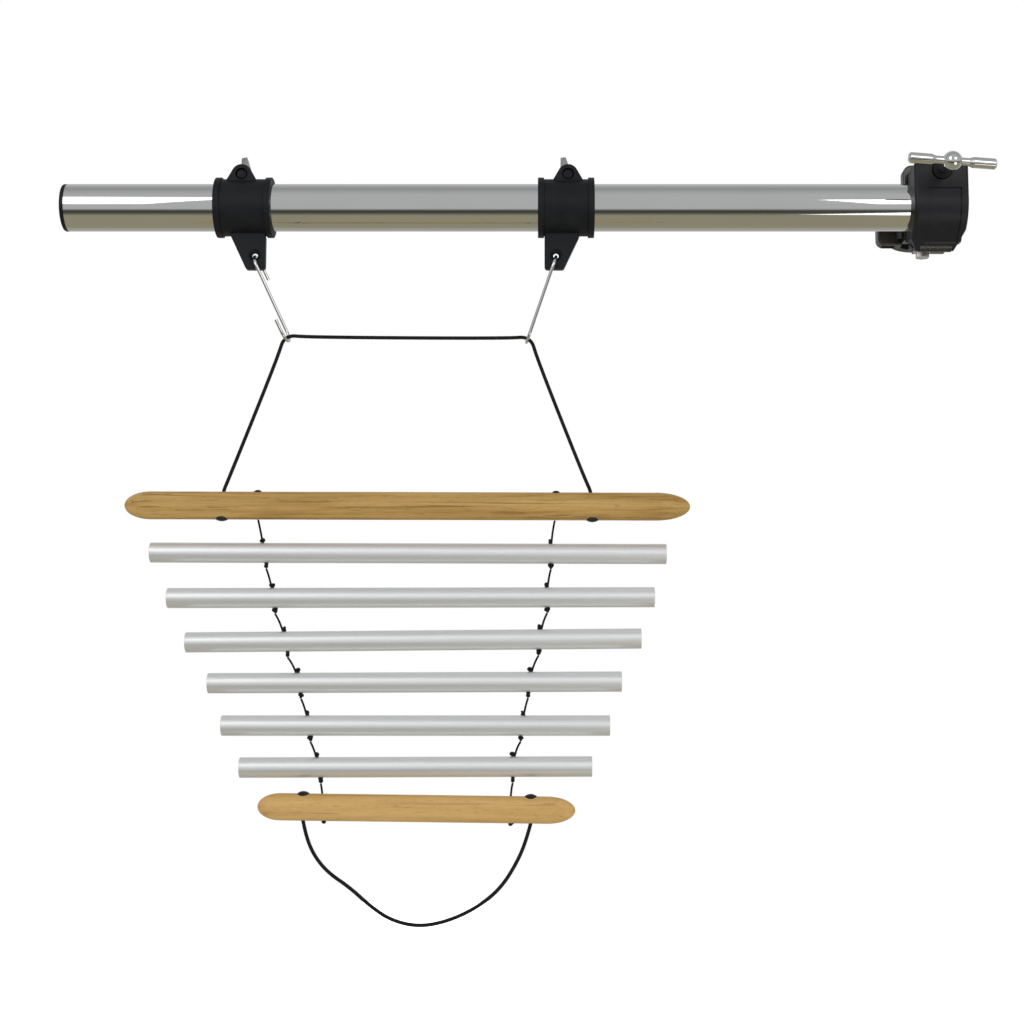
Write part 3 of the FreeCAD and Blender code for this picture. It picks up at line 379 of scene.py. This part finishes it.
FINISHES: dict[Slot, Finish] = {f.slot: f for f in (
    Plated(Slot.CHROME),
    RoughMetal(Slot.ZINC, (0.60, 0.60, 0.59), (0.34, 0.34, 0.33), 1500.0, 0.03, (0.20, 0.38)),
    # The cast body's near-black dark stop and strong contrast are partly painted shade and painted
    # highlight, laid in random patches.
    RoughMetal(Slot.CAST_BODY, (0.10, 0.10, 0.10), (0.006, 0.006, 0.006), 260.0, 0.45, (0.24, 0.45)),
    BlackCoat(Slot.BLACK_JAW, (0.010, 0.010, 0.013), (0.03, 0.03, 0.034),
              1900.0, 0.02, (0.34, 0.46), 0.0, 0.30),
    BlackCoat(Slot.MOULDING, (0.008, 0.009, 0.011), (0.022, 0.023, 0.026),
              1500.0, 0.05, (0.42, 0.58), 0.0, 0.20),
    BlackCoat(Slot.DARK_STEEL, (0.007, 0.007, 0.009), (0.03, 0.03, 0.03),
              1800.0, 0.02, (0.40, 0.55), 0.0, 0.20),
    BlackCoat(Slot.CAP, (0.008, 0.008, 0.009), (0.03, 0.03, 0.03), 2100.0, 0.03, (0.38, 0.55), 0.0, 0.25),
    DrawnAluminium(Slot.TUBE),
    OiledWood(Slot.UPPER_WOOD, (0.54, 0.345, 0.115), (0.41, 0.240, 0.066), (0.20, 0.100, 0.025),
              (0.3, 0.9, 0.4), 0.72),
    OiledWood(Slot.LOWER_WOOD, (0.64, 0.405, 0.148), (0.55, 0.335, 0.112), (0.34, 0.185, 0.058),
              (1.7, 2.1, 0.2), 0.40),
    Braid(Slot.CORD),
    Braid(Slot.STRING),
    BlackCoat(Slot.STOPPER, (0.007, 0.007, 0.009), (0.03, 0.03, 0.03),
              2400.0, 0.015, (0.25, 0.40), 0.0, 0.35),
)}


# ------------------------------------------------------------------ mesh making

def make_object(name: str, points: Sequence[Vector], faces: Sequence[Sequence[int]]) -> bpy.types.Object:
    """A smooth-shaded mesh object from points in metres.

    Args:
        name: The object's name.
        points: Its vertices.
        faces: Vertex indices of each face.

    Returns:
        The object, in the scene.
    """
    mesh = bpy.data.meshes.new(name)
    mesh.from_pydata([tuple(p) for p in points], [], [tuple(f) for f in faces])
    mesh.polygons.foreach_set("use_smooth", [True] * len(mesh.polygons))
    mesh.validate()
    mesh.update()
    made = bpy.data.objects.new(name, mesh)
    bpy.context.scene.collection.objects.link(made)
    return made


@dataclass
class Skin:
    """Points and faces that grow ring by ring into closed skins."""

    points: list[Vector] = field(default_factory=list)
    faces: list[list[int]] = field(default_factory=list)

    def tube(self, rings: Sequence[Sequence[Vector]], closed: bool = False) -> None:
        """Adds a skin over rings of points, with a fan over each open end or joined end to end.

        Args:
            rings: Rings with the same number of points, in order.
            closed: Whether the last ring joins the first.
        """
        around = len(rings[0])
        start = len(self.points)
        for ring in rings:
            self.points.extend(ring)
        count = len(rings)
        for i in range(count if closed else count - 1):
            here, there = start + i * around, start + (i + 1) % count * around
            for k in range(around):
                after = (k + 1) % around
                self.faces.append([here + k, there + k, there + after, here + after])
        if not closed:
            ends = ((start, rings[0], False), (start + (count - 1) * around, rings[-1], True))
            for ring_start, ring, flip in ends:
                middle = len(self.points)
                self.points.append(sum(ring, Vector()) / around)
                for k in range(around):
                    face = [ring_start + k, ring_start + (k + 1) % around, middle]
                    self.faces.append(face[::-1] if flip else face)

    def build(self, name: str) -> bpy.types.Object:
        """The object that holds every skin so far."""
        return make_object(name, self.points, self.faces)


def frames_along(line: Sequence[Vector], start_normal: Vector) -> list[tuple[Vector, Vector, Vector]]:
    """A frame at each point of a line, turning as little as it can.

    Args:
        line: Points in order.
        start_normal: A direction across the line's start.

    Returns:
        The point, its normal and its binormal, for each point.
    """
    found = []
    normal = start_normal
    for i, point in enumerate(line):
        ahead = (line[min(i + 1, len(line) - 1)] - line[max(i - 1, 0)]).normalized()
        normal = (normal - ahead * normal.dot(ahead)).normalized()
        found.append((point, normal, ahead.cross(normal)))
    return found


def evenly(line: Sequence[Vector], step: float) -> list[Vector]:
    """Points at even steps along a fine line.

    Args:
        line: Points in order.
        step: The wanted spacing in metres.

    Returns:
        New points on the line, its two ends among them.
    """
    travelled = [0.0]
    for a, b in zip(line, line[1:]):
        travelled.append(travelled[-1] + (b - a).length)
    count = max(2, round(travelled[-1] / step))
    found = []
    k = 0
    for i in range(count + 1):
        at = travelled[-1] * i / count
        while k < len(line) - 2 and travelled[k + 1] < at:
            k += 1
        share = (at - travelled[k]) / max(travelled[k + 1] - travelled[k], 1e-12)
        found.append(line[k].lerp(line[k + 1], min(1.0, share)))
    return found


def attach(piece: bpy.types.Object, slot: Slot, body: str, *stands_for: str) -> bpy.types.Object:
    """Gives a new piece its finish and the body it rides on, and logs it.

    Args:
        piece: The new object.
        slot: Its material slot.
        body: The CAD body that carries it.
        stands_for: CAD nodes that it replaces.

    Returns:
        The piece.
    """
    piece.data.materials.append(FINISHES[slot].material())
    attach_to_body(piece, body)
    if stands_for:
        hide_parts(*stands_for)
    LOG.info("%s rides on %s", piece.name, body)
    return piece


# ------------------------------------------------------------------ cords

@dataclass
class CordRoute:
    """The smooth line of a cord, from its own route points."""

    name: str
    route: Sequence[tuple[float, float]]
    plane_y: float = -52.0

    def line(self) -> list[Vector]:
        """The NURBS line through the cord, in metres.

        Returns:
            Fine points from one end to the other.
        """
        curve = bpy.data.curves.new(self.name + "_line", "CURVE")
        curve.dimensions = "3D"
        spline = curve.splines.new("NURBS")
        spline.points.add(len(self.route) - 1)
        for point, (x, z) in zip(spline.points, self.route):
            point.co = (x * MM, self.plane_y * MM, z * MM, 1.0)
        spline.order_u = 3
        spline.use_endpoint_u = True
        spline.resolution_u = 24
        holder = bpy.data.objects.new(self.name + "_line", curve)
        bpy.context.scene.collection.objects.link(holder)
        mesh = bpy.data.meshes.new_from_object(holder)
        points = [vertex.co.copy() for vertex in mesh.vertices]
        bpy.data.objects.remove(holder)
        bpy.data.curves.remove(curve)
        bpy.data.meshes.remove(mesh)
        return points


@dataclass
class BraidedCord:
    """A round braid: two sets of strands that wind opposite ways, over and under each other."""

    radius: float
    strands: int = 8
    lay_length: float = 9.0
    relief: float = 0.16
    around: int = 32
    step: float = 0.35

    def height(self, angle: float, along: float) -> float:
        """How far the braid's skin stands out at a point.

        Args:
            angle: Angle around the cord in radians.
            along: Distance along it in millimetres.

        Returns:
            The share of the radius, at most 1.
        """
        turn = 2 * math.pi * along / self.lay_length
        half = self.strands / 2
        right, left = half * (angle + turn), half * (angle - turn)
        over = 0.5 + 0.5 * math.sin(right) * math.sin(left)
        crown_right = abs(math.cos(right))
        crown_left = abs(math.cos(left))
        crown = over * crown_right + (1 - over) * crown_left
        return 1.0 - self.relief * (1.0 - crown ** 0.7)

    def skin(self, line: Sequence[Vector], skin: Skin) -> None:
        """Adds the braid along a line, with rounded ends.

        Args:
            line: Points in metres.
            skin: The skin to add to.
        """
        spaced = evenly(line, self.step * MM)
        total = self.step * (len(spaced) - 1)
        rings = []
        for i, (point, normal, across) in enumerate(frames_along(spaced, Vector((0.0, 1.0, 0.0)))):
            along = self.step * i
            end = min(along, total - along) / self.radius
            cap = 0.75 + 0.25 * min(1.0, end * 4)
            ring = []
            for k in range(self.around):
                angle = 2 * math.pi * k / self.around
                reach = self.radius * MM * self.height(angle, along) * cap
                ring.append(point + (normal * math.cos(angle) + across * math.sin(angle)) * reach)
            rings.append(ring)
        skin.tube(rings)


@dataclass
class OverhandKnot:
    """A tight overhand knot: the string crosses itself three times round a small middle."""

    string_radius: float = 0.85
    reach: float = 1.75
    steps: int = 66
    around: int = 12

    def skin(self, centre: Vector, turn: float, lean: float, skin: Skin) -> None:
        """Adds one knot.

        Args:
            centre: The knot's middle in metres.
            turn: Its turn about the upright axis in radians.
            lean: How far it leans in radians.
            skin: The skin to add to.
        """
        place = Matrix.Translation(centre) @ Matrix.Rotation(turn, 4, "Z") @ Matrix.Rotation(lean, 4, "Y")
        loop = []
        for i in range(self.steps):
            t = 2 * math.pi * i / self.steps
            flat = Vector((
                math.sin(t) + 2 * math.sin(2 * t),
                -1.15 * math.sin(3 * t),
                math.cos(t) - 2 * math.cos(2 * t),
            ))
            loop.append(place @ (flat * (self.reach * MM / 3.0)))
        rings = []
        for i in range(self.steps):
            ahead = (loop[(i + 1) % self.steps] - loop[i - 1]).normalized()
            side = ahead.cross(loop[i] - centre).normalized()
            out = side.cross(ahead)
            rings.append([
                loop[i] + (out * math.cos(a) + side * math.sin(a)) * self.string_radius * MM
                * (0.94 + 0.06 * math.cos(3 * a + 2.1 * i))
                for a in (2 * math.pi * k / self.around for k in range(self.around))
            ])
        skin.tube(rings, closed=True)


# ------------------------------------------------------------------ sub-assemblies

@dataclass
class HangingCord:
    """The cord over both hooks, whose ends go down through the upper bar."""

    radius: float = 1.5
    length: float = 510.0
    route: Sequence[tuple[float, float]] = (
        (-575.9, -256.5), (-576.9, -238.0), (-569.8, -220.7),
        (-533.5, -124.7), (-528.3, -106.1), (-509.1, -108.0),
        (-348.7, -109.0), (-329.4, -107.3), (-324.2, -125.9),
        (-287.1, -221.3), (-279.2, -238.5), (-280.1, -257.0),
    )

    def build(self) -> None:
        line = CordRoute("hanging_cord", self.route).line()
        skin = Skin()
        BraidedCord(self.radius).skin(line, skin)
        piece = attach(skin.build("hanging_cord_braid"), Slot.CORD, "suspension", "hanging_cord")


@dataclass
class LoopCord:
    """The slack loop under the lower bar."""

    radius: float = 1.5
    length: float = 254.0
    route: Sequence[tuple[float, float]] = (
        (-507.6, -492.8), (-505.6, -503.5), (-499.3, -519.5), (-488.0, -533.5), (-470.0, -545.5),
        (-455.0, -559.0), (-438.0, -570.5), (-416.0, -575.5), (-393.0, -571.0), (-370.5, -560.5),
        (-352.0, -545.5), (-338.5, -523.5), (-332.0, -506.5), (-329.0, -495.0),
    )

    def build(self) -> None:
        line = CordRoute("loop_cord", self.route).line()
        skin = Skin()
        BraidedCord(self.radius).skin(line, skin)
        piece = attach(skin.build("loop_cord_braid"), Slot.CORD, "loop", "loop_cord")


@dataclass
class Rungs:
    """The two knotted strings that carry the tubes, one piece of string and its knots at a time."""

    string_radius: float = 0.85
    knot_radius: float = 2.0
    gap: float = 0.8
    fit: float = 0.3
    knot_above: float = 9.7
    knot_swell: float = 1.12
    end_knot_sunk: float = 0.4
    plane_y: float = -52.0
    tubes: Sequence[tuple[float, float, float]] = (
        (-426.7, -283.4, -0.17), (-424.3, -318.8, 0.10), (-422.0, -352.8, 0.49),
        (-420.7, -385.9, 0.23), (-419.7, -419.8, 0.00), (-419.4, -452.2, 0.18),
    )
    upper_bar: tuple[float, float, float, float] = (-427.9, -245.4, -0.15, 22.4)
    lower_bar: tuple[float, float, float, float] = (-418.8, -484.4, -0.73, 21.2)
    top_x: dict[Side, float] = field(default_factory=lambda: {Side.LEFT: -546.8, Side.RIGHT: -310.2})
    end_x: dict[Side, tuple[float, float]] = field(default_factory=lambda: {
        Side.LEFT: (-492.2, -491.1), Side.RIGHT: (-345.9, -344.8),
    })
    knots: dict[Side, Sequence[tuple[float, float]]] = field(default_factory=lambda: {
        Side.LEFT: ((-543.0, -539.7), (-534.7, -532.1), (-524.7, -521.6),
                    (-513.5, -510.5), (-505.3, -502.7), (-497.3, -494.0)),
        Side.RIGHT: ((-313.7, -313.3), (-316.8, -316.2), (-322.0, -322.9),
                     (-329.7, -331.3), (-335.3, -337.1), (-343.6, -343.3)),
    })

    @staticmethod
    def height(axis: Sequence[float], x: float) -> float:
        """The height of a sloping axis at x, from its middle x, middle z and slope in degrees."""
        return axis[1] + math.tan(math.radians(axis[2])) * (x - axis[0])

    def knot_points(self, side: Side, index: int) -> tuple[tuple[float, float], tuple[float, float]]:
        """The middles of the knots above and below one tube."""
        above, below = self.knots[side][index]
        axis = self.tubes[index]
        return ((above, self.height(axis, above) + self.knot_above),
                (below, self.height(axis, below) - self.knot_above))

    def start(self, side: Side, index: int) -> tuple[float, float]:
        """Where a piece of string starts under the piece above it."""
        if index == 0:
            x = self.top_x[side]
            return x, self.height(self.upper_bar, x) - self.upper_bar[3] / 2 - self.fit
        below = self.knot_points(side, index - 1)[1]
        return below[0], below[1] - self.knot_radius - self.gap

    def string(self, side: Side, index: int) -> list[tuple[float, float]]:
        """The three route points of one piece of string."""
        first = self.start(side, index)
        if index < len(self.tubes):
            above, last = self.knot_points(side, index)
            middle = (above[0], above[1] + 1.0)
        else:
            top, bottom = self.end_x[side]
            half = self.lower_bar[3] / 2
            middle = (top, self.height(self.lower_bar, top) + half + 1.0)
            last = (bottom, self.height(self.lower_bar, bottom) - half - 1.0)
        return [first, middle, last]

    def build(self) -> None:
        """Makes every piece of string and its knots."""
        dice = random.Random(7)
        knot = OverhandKnot(self.string_radius * self.knot_swell)
        for index in range(len(self.tubes) + 1):
            last = index == len(self.tubes)
            body = "lower_bar" if last else f"rung_{index + 1}"
            knot_node = "end_knots" if last else f"rung_knots_{index + 1}"
            for side in Side:
                line = CordRoute(f"string_{index}", self.string(side, index)).line()
                skin = Skin()
                BraidedCord(self.string_radius, 6, 4.2, 0.09, 20, 0.3).skin(line, skin)
                string = attach(skin.build(f"string_{index + 1}_{side.value}"), Slot.STRING, body,
                                f"rung_cord_{index + 1}")
                places = self.knot_places(side, index)
                knots = Skin()
                for x, z in places:
                    centre = Vector((x, self.plane_y, z)) * MM
                    knot.skin(centre, dice.uniform(0, 3.1), dice.uniform(-0.5, 0.5), knots)
                if not last:
                    x, z = places[-1]
                    drop = self.knot_radius + self.gap - self.fit
                    tail = [Vector((x, self.plane_y, z - down)) * MM for down in (0.0, drop)]
                    BraidedCord(self.string_radius, 6, 4.2, 0.14, 20, 0.3).skin(tail, knots)
                tied = attach(knots.build(f"knots_{index + 1}_{side.value}"), Slot.STRING, body, knot_node)

    def knot_places(self, side: Side, index: int) -> list[tuple[float, float]]:
        """The middles of the knots on one piece of string."""
        if index < len(self.tubes):
            return list(self.knot_points(side, index))
        x = self.end_x[side][1]
        return [(x, self.height(self.lower_bar, x) - self.lower_bar[3] / 2 + self.end_knot_sunk)]


@dataclass
class HangerBolt:
    """The round-headed bolt of a hanger clamp, with its cut thread."""

    side: Side
    head_radius: float = 4.4
    radius: float = 3.0
    root: float = 2.62
    pitch: float = 1.0
    plain_end: float = -38.0
    around: int = 40

    def build(self) -> None:
        """Turns the bolt in place of its CAD node."""
        node = f"{self.side.value}_hanger_bolt"
        low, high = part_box(node)
        axis = Vector(((low.x + high.x) / 2, 0.0, (low.z + high.z) / 2))
        front, back = low.y / MM, high.y / MM
        skin = Skin()
        head = [(front, 1.6), (front + 0.12, 3.0), (front + 0.45, 3.9), (front + 1.0, self.head_radius),
                (front + 2.3, self.head_radius), (front + 2.3, self.radius), (self.plain_end, self.radius)]
        rings = [self.ring(axis, y, lambda a, r=r: r) for y, r in head]
        y = self.plain_end
        while y < back - 0.6:
            y += self.pitch / 8
            rings.append(self.ring(axis, y, lambda a, y=y: self.thread(a, y)))
        rings.append(self.ring(axis, back - 0.1, lambda a: self.root - 0.1))
        rings.append(self.ring(axis, back, lambda a: self.root - 0.4))
        skin.tube(rings)
        attach(skin.build(node + "_turned"), Slot.DARK_STEEL, f"{self.side.value}_hanger", node)

    def ring(self, axis: Vector, y: float, reach: Callable[[float], float]) -> list[Vector]:
        """One ring of points round the bolt at y."""
        found = []
        for k in range(self.around):
            angle = -2 * math.pi * k / self.around
            r = reach(angle) * MM
            found.append(Vector((axis.x + r * math.cos(angle), y * MM, axis.z + r * math.sin(angle))))
        return found

    def thread(self, angle: float, y: float) -> float:
        """The radius of the thread at an angle and a place along the bolt."""
        share = (y / self.pitch + angle / (2 * math.pi)) % 1.0
        return self.root + (self.radius - self.root) * min(1.0, 1.35 * abs(2 * share - 1))


@dataclass
class CadPieces:
    """The pieces whose CAD shape is right, which only need their finish."""

    def build(self) -> None:
        """Gives every shown CAD node the finish of its slot."""
        slots = {row["node"]: row["material_slot"] for row in frame["record"]["subparts"]}
        for name, piece in frame["nodes"].items():
            if piece.hide_render:
                continue
            finish = FINISHES[Slot(slots[name])]
            piece.data.materials.clear()
            piece.data.materials.append(finish.material())
            LOG.info("%s dressed in %s", name, slots[name])


# ------------------------------------------------------------------ studio

@dataclass
class SoftBox:
    """A soft light panel."""

    name: str
    place: Point
    aim: Point
    width: float
    height: float
    brightness: float
    colour: Colour = (1.0, 0.99, 0.975)

    def build(self) -> None:
        """Hangs the panel. Its brightness is that of its own surface."""
        light = bpy.data.lights.new(self.name, "AREA")
        light.shape = "RECTANGLE"
        light.size, light.size_y = self.width, self.height
        light.energy = self.brightness * math.pi * self.width * self.height
        light.color = self.colour
        panel = bpy.data.objects.new(self.name, light)
        panel.location = self.place
        panel.rotation_euler = (Vector(self.aim) - Vector(self.place)).to_track_quat("-Z", "Y").to_euler()
        panel.visible_camera = False
        bpy.context.scene.collection.objects.link(panel)


@dataclass
class Studio:
    """Camera, room, lights and floor."""

    camera_place: Point = (-0.322, -1.450, -0.4332)
    camera_pitch: float = 6.45
    lens: float = 62.09
    shift: tuple[float, float] = (-0.0273, 0.0303)
    floor_z: float = -3.2
    fill: float = 0.72
    back_wall: Colour = (0.50, 0.50, 0.50)
    wall: Colour = (0.45, 0.45, 0.45)
    ceiling: Colour = (0.30, 0.30, 0.30)
    ground: Colour = (0.28, 0.26, 0.18)
    skirting: Colour = (0.06, 0.06, 0.05)

    @property
    def room(self) -> Sequence[tuple[float, Colour]]:
        """The plain room by angle in degrees: 0 in front, 90 overhead and -90 underfoot."""
        return (
            (-180, self.back_wall), (-120, self.ground), (-55, self.ground), (-40, self.skirting),
            (-30, self.skirting), (-20, self.wall), (50, self.wall), (90, self.ceiling),
            (130, self.back_wall),
        )

    def build(self) -> None:
        """Sets up everything round the object."""
        self.camera()
        self.world()
        self.floor()
        SoftBox("left_softbox", (-1.75, -2.6, 0.95), (-0.4, -0.05, -0.2), 1.3, 1.8, 1.9).build()
        SoftBox("right_softbox", (1.05, -2.6, 0.62), (-0.4, -0.05, -0.2), 1.4, 1.1, 1.9).build()
        SoftBox("right_low_softbox", (1.10, -1.75, -1.85), (-0.4, -0.05, -0.2), 1.5, 1.1, 1.5).build()
        scene = bpy.context.scene
        scene.view_settings.view_transform = "Standard"

    def camera(self) -> None:
        """Stands the camera in front of the object, a little below it."""
        data = bpy.data.cameras.new("camera")
        data.lens, data.sensor_width = self.lens, 36.0
        data.shift_x, data.shift_y = self.shift
        data.clip_start, data.clip_end = 0.05, 60.0
        holder = bpy.data.objects.new("camera", data)
        holder.location = self.camera_place
        holder.rotation_euler = (math.radians(90 + self.camera_pitch), 0.0, 0.0)
        bpy.context.scene.collection.objects.link(holder)
        bpy.context.scene.camera = holder

    def world(self) -> None:
        """Paints a plain room, white to look at; metal mirrors its floor, skirting, walls and ceiling."""
        world = bpy.data.worlds.new("room")
        bpy.context.scene.world = world
        world.use_nodes = True
        tree = world.node_tree
        tree.nodes.clear()

        def add(kind: str, **settings: object) -> bpy.types.Node:
            """Adds one node."""
            node = tree.nodes.new("ShaderNode" + kind)
            for key, value in settings.items():
                setattr(node, key, value)
            return node

        split = add("SeparateXYZ")
        tree.links.new(add("TexCoord").outputs["Generated"], split.inputs[0])
        back = add("Math", operation="MULTIPLY")
        tree.links.new(split.outputs["Y"], back.inputs[0])
        back.inputs[1].default_value = -1.0
        angle = add("Math", operation="ARCTAN2")
        tree.links.new(split.outputs["Z"], angle.inputs[0])
        tree.links.new(back.outputs[0], angle.inputs[1])
        turn = add("Math", operation="MULTIPLY_ADD")
        tree.links.new(angle.outputs[0], turn.inputs[0])
        turn.inputs[1].default_value = 1 / (2 * math.pi)
        turn.inputs[2].default_value = 0.5
        walls = add("ValToRGB")
        while len(walls.color_ramp.elements) < len(self.room):
            walls.color_ramp.elements.new(0.5)
        for element, (degrees, colour) in zip(walls.color_ramp.elements, self.room):
            element.position = (degrees + 180) / 360
            element.color = (*colour, 1.0)
        tree.links.new(turn.outputs[0], walls.inputs[0])
        ray = add("LightPath")
        shown = add("Background")
        tree.links.new(walls.outputs[0], shown.inputs["Color"])
        for kind, level in (("Is Diffuse Ray", self.fill), ("Is Camera Ray", 1.0)):
            plain, pick = add("Background"), add("MixShader")
            plain.inputs["Color"].default_value = (level, level, level, 1.0)
            tree.links.new(ray.outputs[kind], pick.inputs[0])
            tree.links.new(shown.outputs[0], pick.inputs[1])
            tree.links.new(plain.outputs[0], pick.inputs[2])
            shown = pick
        tree.links.new(shown.outputs[0], add("OutputWorld").inputs["Surface"])

    def floor(self) -> None:
        """Lays a plain white floor well below the object."""
        reach = 30.0
        square = ((-reach, -reach), (reach, -reach), (reach, reach), (-reach, reach))
        corners = [Vector((x, y, self.floor_z)) for x, y in square]
        floor = make_object("floor", corners, [[0, 1, 2, 3]])
        bench = Bench("floor_paint")
        speckle = bench.noise(bench.along((1, 1, 1)), 3.0, 4.0, 0.6)
        bench.plug(bench.shader, Base_Color=bench.mix(speckle, (0.90, 0.90, 0.90), (0.93, 0.93, 0.93)),
                   Roughness=0.9, Emission_Color=(1.0, 1.0, 1.0, 1.0), Emission_Strength=1.3)
        floor.data.materials.append(bench.material)
        floor.visible_glossy = False
        floor.visible_diffuse = False


def main() -> None:
    """Builds the studio and every piece, in order."""
    logging.basicConfig(level=logging.INFO, format="%(name)s: %(message)s")
    Studio().build()
    hangers = [HangerBolt(side) for side in Side]
    for part in (HangingCord(), LoopCord(), Rungs(), *hangers, CadPieces()):
        part.build()
        LOG.info("%s done", type(part).__name__)


if __name__ == "__main__":
    main()
